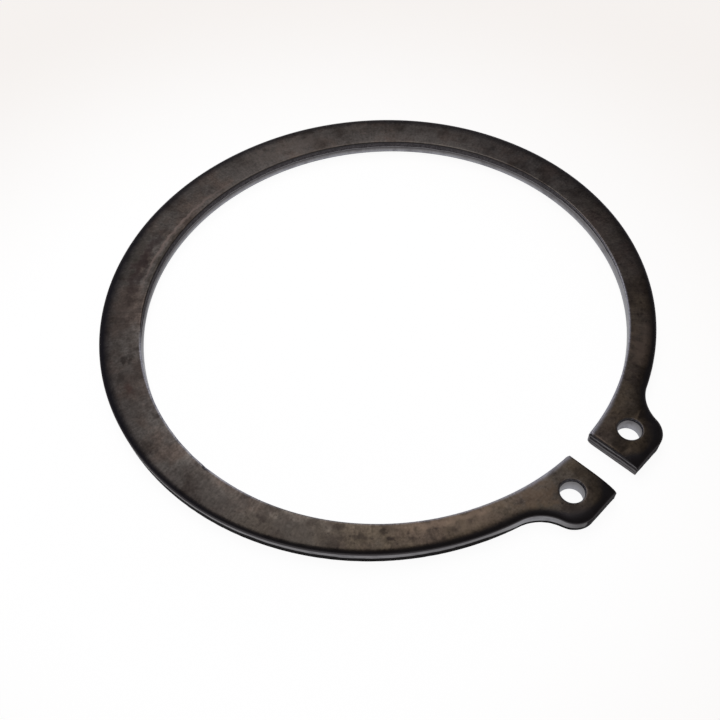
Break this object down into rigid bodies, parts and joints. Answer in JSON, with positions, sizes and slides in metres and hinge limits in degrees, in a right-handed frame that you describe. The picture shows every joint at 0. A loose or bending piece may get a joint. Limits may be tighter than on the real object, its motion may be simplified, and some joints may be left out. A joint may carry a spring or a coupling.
{
  "type": "external retaining ring",
  "caption": "Flat spring-steel circlip for a shaft groove: a band that narrows towards its gap, with rounded lugs and plier holes at the open ends.",
  "frame": {"origin": "centre of the inner circle, on the flat underside", "axes": "+Z along the shaft, out of the side with the rolled edge; the gap and the lugs look towards -Y"},
  "size_m": [0.1026, 0.1077, 0.003],
  "materials": {
    "spring_steel": "satin"
  },
  "bodies": {
    "root": {"ring": "spring_steel"}
  },
  "joints": []
}
